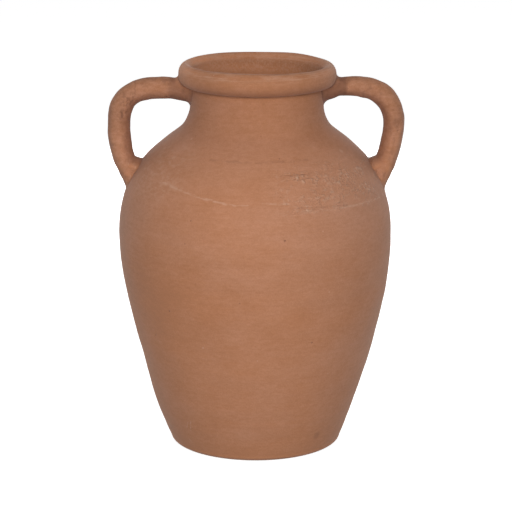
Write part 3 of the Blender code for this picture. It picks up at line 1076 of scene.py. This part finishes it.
def wall_clay():
    clay = Clay("thrown_terracotta")
    colour, height, roughness = fired_body(clay, wiped=0.8, mottled=1.0, redness=0.5)
    rubbed, rubbed_relief = rubbed_shoulder(clay)
    left_lip = clay.share(clay.band(clay.turn, LEFT_LIP_TURNS), clay.rise(clay.z, *LEFT_LIP_HEIGHTS), 0.24)
    colour = clay.toned(colour, clay.total(1.0, left_lip))
    crest = clay.rise(clay.z, *LIP_CREST)
    rim_lines = clay.share(crest, clay.lines_round(1.4, 50))
    pale_lines, dark_lines = clay.strokes(PALE_STROKES), clay.strokes(DARK_STROKES)
    lip_ends = clay.share(clay.rise(clay.turn_size, *LIP_END_TURNS), clay.rise(clay.z, *LIP_END_HEIGHTS))
    left_shoulder = clay.share(clay.band(clay.turn, LEFT_DUST_TURNS), clay.band(clay.z, LEFT_DUST_HEIGHTS))
    pale_marks = {
        "spots": clay.strongest(*(clay.wall_dot(*spot) for spot in PALE_SPOTS)),
        "worn_lip": clay.share(crest, clay.rise(clay.noise("lip_wear"), -0.4, 0.8)),
        "lip_dust": clay.share(lip_ends, clay.rise(clay.noise("lip_dust"), -0.6, 0.9)),
        "left_dust": clay.share(left_shoulder, clay.rise(clay.noise("left_dust"), -0.2, 0.9)),
    }
    # Painted shade in the crease under the lip, fading out towards the handles.
    under_lip = clay.share(clay.band(clay.z, UNDER_LIP_SHADE_HEIGHTS), clay.rise(clay.out, *THROAT_RADII))
    pits = clay.strongest(*(clay.wall_dot(*pit) for pit in DARK_PITS))
    dark_marks_and_shade = {
        "pits": pits,
        "smudge": clay.wall_dot(*SMUDGE),
        "under_lip_shade": clay.share(under_lip, clay.fall(clay.turn_size, *UNDER_LIP_SHADE_TURNS)),
        # Darker towards the very bottom of the foot.
        "dark_bottom_edge": clay.fall(clay.shifted(clay.z, 0.6), *BOTTOM_EDGE_HEIGHTS),
    }
    pale = clay.strongest(rubbed, pale_lines, *clay.shares(pale_marks, PALE_MARKS))
    pale = clay.total(pale, clay.share(rim_lines, 0.2))
    colour = clay.blend(pale, colour, PALE_CLAY)
    colour = clay.stained_or_shaded(colour, clay.strongest(dark_lines, *clay.shares(dark_marks_and_shade, DARK_MARKS_AND_SHADE)))
    marks = {"rim_lines": rim_lines, "pale_lines": pale_lines, "dark_lines": dark_lines, "pits": pits}
    height = clay.total(height, rubbed_relief, *clay.shares(marks, WALL_RELIEF))
    return clay.finish(colour, height, roughness)


def limb_clay(name):
    """A handle's clay, with slip wiped into its joints: dark cuffs at the neck, orange at the shoulder."""
    clay = Clay(name)
    colour, height, roughness = fired_body(clay, wiped=0.35, mottled=2.0, redness=0.72)
    pull_marks = clay.noise("pull_marks")
    colour = clay.toned(colour, clay.math("MULTIPLY_ADD", pull_marks, 0.06, 1.01))

    left_edge = clay.rise(clay.shifted(clay.x, -2.0), *LEFT_CUFF_EDGE)
    right_edge = clay.fall(clay.shifted(clay.x, 1.0), *RIGHT_CUFF_EDGE)
    cuff_depth = clay.rise(clay.x, *CUFF_DEPTH)
    cuff = clay.share(left_edge, right_edge, clay.rise(clay.z, *CUFF_HEIGHTS), cuff_depth)
    colour = clay.stained_or_shaded(colour, cuff)

    low = clay.fall(clay.z, *LOWER_JOINT)
    tint = clay.share(low, clay.rise(clay.noise("slip_tint"), -0.8, 0.8))
    colour = clay.blend(clay.share(tint, 0.5), colour, TINTED_CLAY)
    smears = clay.share(low, clay.rise(clay.noise("finger_smears"), 0.15, 0.9))
    colour = clay.blend(clay.share(smears, 0.4), colour, PALE_CLAY)

    smudges = clay.rise(clay.noise("smudges"), 0.0, 1.1)
    grimy = clay.strongest(*(clay.dot(place, radius) for place, radius in HANDLE_GRIME))
    grime = clay.share(grimy, clay.rise(clay.noise("grime"), -0.3, 0.6))
    colour = clay.stained_or_shaded(colour, clay.total(clay.share(smudges, 0.42), clay.share(grime, 0.56)))

    # Painted shade on the handle's sides that face into its loop, and on its outer side below the bend.
    loop_side = clay.attribute("loop_side")
    outer = clay.share(clay.rise(loop_side, *OUTER_SIDE_SHADE), clay.fall(clay.z, *OUTER_ARM))
    colour = clay.stained_or_shaded(colour, clay.total(clay.rise(loop_side, *INNER_SIDE_SHADE), outer))

    across = clay.math("ABSOLUTE", clay.shifted(clay.total(clay.x, -HANDLE_LINE), 1.1))
    line = clay.share(clay.fall(across, 0.3, 1.0), clay.rise(clay.z, *LINE_HEIGHTS))
    colour = clay.stained_or_shaded(colour, clay.share(line, 0.25))
    nicks = clay.strongest(*(clay.dot(place, radius) for place, radius in HANDLE_NICKS))
    colour = clay.stained_or_shaded(colour, clay.share(nicks, 0.6))
    marks = {"pull_marks": pull_marks, "smears": smears, "nicks": nicks}
    height = clay.total(height, *clay.shares(marks, HANDLE_RELIEF))
    return clay.finish(colour, height, roughness)


# -------------------- the studio


def build_stage():
    """A pale floor, which glows a little so that it melts into the white backdrop."""
    mesh = bpy.data.meshes.new("floor")
    half = FLOOR_HALF_SIZE
    corners = [(-half, -half, 0), (half, -half, 0), (half, half, 0), (-half, half, 0)]
    mesh.from_pydata(corners, [], [(0, 1, 2, 3)])
    floor = placed("floor", mesh)
    material = bpy.data.materials.new("pale_floor")
    material.use_nodes = True
    shader = material.node_tree.nodes["Principled BSDF"]
    for slot, value in FLOOR_LOOK.items():
        shader.inputs[slot].default_value = value
    mesh.materials.append(material)
    floor.visible_diffuse = False


def add_light(name, place, size, watts):
    data = bpy.data.lights.new(name, "AREA")
    data.shape = "RECTANGLE"
    data.size, data.size_y = size
    data.energy = watts
    light = placed(name, data)
    light.location = place
    aimed(light, Vector(LIGHT_TARGET) - Vector(place))


def build_camera():
    data = bpy.data.cameras.new("camera")
    data.lens = CAMERA_LENS
    data.sensor_width = SENSOR_WIDTH
    camera = placed("camera", data)
    target = Vector((0, 0, CAMERA_TARGET_HEIGHT * MM))
    back = Vector((0, -math.cos(CAMERA_HEIGHT_ANGLE), math.sin(CAMERA_HEIGHT_ANGLE)))
    camera.location = target + back * CAMERA_DISTANCE * MM
    aimed(camera, -back)
    data.clip_start, data.clip_end = CAMERA_LIMITS
    bpy.context.scene.camera = camera


def build_world():
    """Soft light from all round, with a white backdrop behind it for the camera alone."""
    world = bpy.data.worlds.new("studio")
    world.use_nodes = True
    tree = world.node_tree
    background = tree.nodes["Background"]
    background.inputs["Color"].default_value = WHITE
    seen = tree.nodes.new("ShaderNodeLightPath").outputs["Is Camera Ray"]
    strength = tree.nodes.new("ShaderNodeMapRange")
    tree.links.new(seen, strength.inputs["Value"])
    strength.inputs["To Min"].default_value = SKY_LIGHT
    strength.inputs["To Max"].default_value = 1.0
    tree.links.new(strength.outputs[0], background.inputs["Strength"])
    bpy.context.scene.world = world
    bpy.context.scene.view_settings.view_transform = "Standard"


build_camera()
build_world()
build_stage()
for light in STUDIO_LIGHTS:
    add_light(*light)

handle_material, collar_material = limb_clay("handle_terracotta"), limb_clay("collar_clay")
build_wall(wall_clay())
for side_name, side in SIDES:
    build_limb(side_name, side, handle_material, collar_material)
